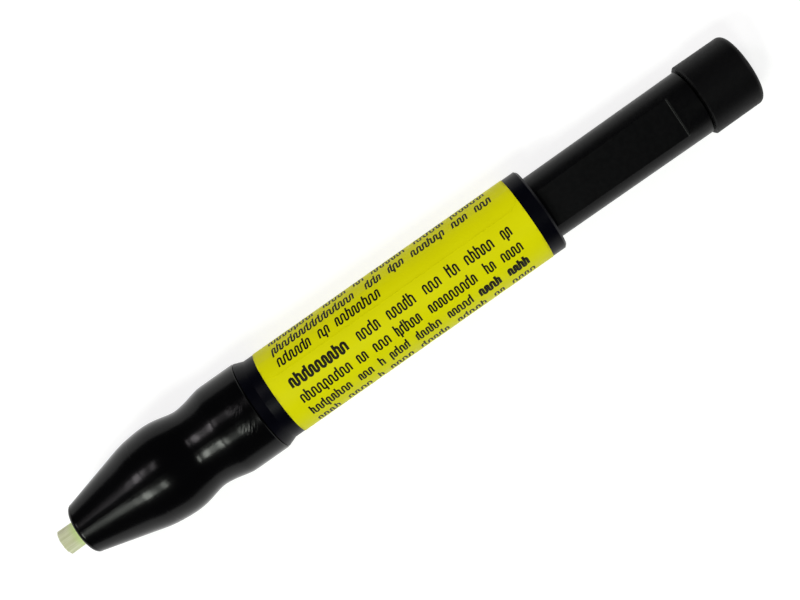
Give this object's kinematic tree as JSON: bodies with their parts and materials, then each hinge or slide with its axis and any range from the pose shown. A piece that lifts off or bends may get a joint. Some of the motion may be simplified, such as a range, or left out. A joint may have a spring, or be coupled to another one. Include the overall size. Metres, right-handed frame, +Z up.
{
  "type": "glass fibre scratch brush pen",
  "caption": "Round pen with a contoured black nose holding a glass-fibre brush, a yellow-labelled barrel and a flatted plunger with a turning knob that feeds the brush by a screw.",
  "frame": {"origin": "on the pen's axis, at the middle of the barrel's plain cylinder", "axes": "+X along the pen's axis from the brush to the knob, +Z up, near the normal of the plunger's flat"},
  "size_m": [0.1243, 0.0152, 0.0152],
  "materials": {
    "grip_black": "moulded, semi-gloss",
    "barrel_navy": "moulded, satin, blue-black",
    "label_yellow": "coated vinyl or paper film, semi-gloss",
    "bush_black": "moulded",
    "plunger_black": "moulded, satin",
    "knob_black": "moulded, satin",
    "seal_rubber": "matte",
    "brass": "turned",
    "ring_aluminium": "turned, satin",
    "screw_steel": "turned",
    "spring_steel": "stamped, oiled",
    "glass_fibre": "bundle of fine fibres cut square",
    "binding_cotton": "wound thread"
  },
  "bodies": {
    "barrel": {"barrel": "barrel_navy", "label": "label_yellow", "guide_bush": "bush_black", "feed_nut": "brass", "nut_circlip": "spring_steel"},
    "plunger": {"plunger_sleeve": "plunger_black", "thrust_washer": "spring_steel"},
    "feed_screw": {"lead_screw": "screw_steel", "end_knob": "knob_black", "retaining_clip": "spring_steel", "friction_ring": "seal_rubber", "brush_chuck": "brass", "brush_ferrule": "brass", "brush_bundle": "glass_fibre", "binding_thread": "binding_cotton"},
    "chuck_ring": {"chuck_ring": "ring_aluminium"},
    "nose_ring": {"nose_seal_ring": "seal_rubber"},
    "nose": {"nose_grip": "grip_black"}
  },
  "joints": [
    {"name": "feed_slide", "type": "slide", "parent": "barrel", "child": "plunger", "axis": [-1, 0, 0], "range_m": [-0.0035, 0.0235]},
    {"name": "feed_spin", "type": "hinge", "parent": "plunger", "child": "feed_screw", "pos_m": [0, 0, 0], "axis": [-1, 0, 0], "range_deg": [-505, 3386]},
    {"name": "nose_advance", "type": "slide", "parent": "barrel", "child": "nose_ring", "axis": [-1, 0, 0], "range_m": [0, 0.0075]},
    {"name": "nose_turn", "type": "hinge", "parent": "nose_ring", "child": "nose", "pos_m": [0, 0, 0], "axis": [-1, 0, 0], "range_deg": [0, 1801]},
    {"name": "chuck_ring_slide", "type": "slide", "parent": "feed_screw", "child": "chuck_ring", "axis": [1, 0, 0], "range_m": [0, 0.003]}
  ],
  "couplings": [
    {"joint": "feed_spin", "follows": "feed_slide", "rad_per_m": 2513.3},
    {"joint": "nose_turn", "follows": "nose_advance", "rad_per_m": 4188.8}
  ]
}
